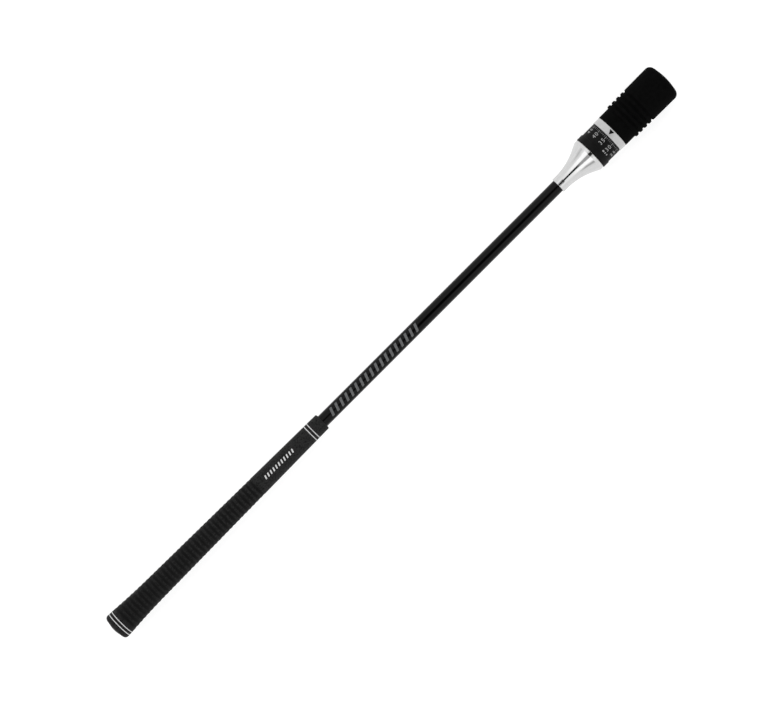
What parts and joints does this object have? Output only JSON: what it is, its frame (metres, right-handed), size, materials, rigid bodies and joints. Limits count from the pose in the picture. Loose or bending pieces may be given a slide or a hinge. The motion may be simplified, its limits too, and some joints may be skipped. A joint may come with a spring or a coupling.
{
  "type": "golf swing trainer stick",
  "caption": "Short golf swing trainer: rubber grip, slim black shaft, polished cone, numbered dial ring and ribbed rubber head with a sliding weight that clicks.",
  "frame": {"origin": "middle of the grip's butt end, at the mouth of the vent hole", "axes": "+X along the stick from the grip to the head; +Z out of the side with the triangle on the index ring; +Y to the left of it when looking from the grip to the head"},
  "size_m": [0.7095, 0.0382, 0.0382],
  "materials": {
    "grip_rubber": "matte, fine moulded texture",
    "white_paint": "paint fill",
    "black_paint": "paint fill",
    "tape": "paper masking tape with adhesive",
    "shaft_paint": "gloss black",
    "steel": "machined",
    "bright_steel": "ground",
    "spring_steel": "drawn wire",
    "chrome": "polished",
    "nylon": "natural acetal",
    "dial_black": "satin black",
    "satin_silver": "fine bead-blasted, anodised",
    "brass": "machined",
    "magnet_nickel": "nickel plated",
    "inner_rubber": "moulded",
    "sleeve_plastic": "glass-filled nylon",
    "head_rubber": "soft matte moulded rubber"
  },
  "bodies": {
    "stick": {"grip": "grip_rubber", "butt_bands": "white_paint", "mouth_bands": "white_paint", "grip_tape": "tape", "shaft": "shaft_paint", "tip_adaptor": "steel", "adaptor_pin": "steel", "chrome_cone": "chrome", "cone_screws": "steel", "thrust_washer": "nylon", "guide_tube": "steel", "stop_pin": "steel", "detent_ball": "bright_steel", "detent_spring": "spring_steel", "index_ring": "satin_silver", "index_mark": "black_paint", "index_key": "steel", "retaining_ring": "spring_steel", "seat_ring": "steel", "anvil": "brass", "bumper_washer": "inner_rubber", "end_screw": "steel", "head_sleeve": "sleeve_plastic", "head_cover": "head_rubber", "return_spring": "spring_steel"},
    "dial": {"dial_ring": "dial_black", "dial_scale": "white_paint"},
    "carrier": {"magnet_carrier": "brass", "magnet": "magnet_nickel"},
    "striker": {"striker": "bright_steel", "striker_rings": "nylon"}
  },
  "joints": [
    {"name": "dial_turn", "type": "hinge", "parent": "stick", "child": "dial", "pos_m": [0.6232, 0, 0], "axis": [1, 0, 0], "range_deg": [-121, 151]},
    {"name": "carrier_slide", "type": "slide", "parent": "stick", "child": "carrier", "axis": [1, 0, 0], "range_m": [-0.0015, 0.00187]},
    {"name": "striker_slide", "type": "slide", "parent": "stick", "child": "striker", "axis": [1, 0, 0], "range_m": [0, 0.022], "stiffness_N_per_m": 25, "springref_m": -0.012, "deforming": ["return_spring"]}
  ],
  "couplings": [
    {"joint": "dial_turn", "follows": "carrier_slide", "rad_per_m": 1396.3}
  ]
}
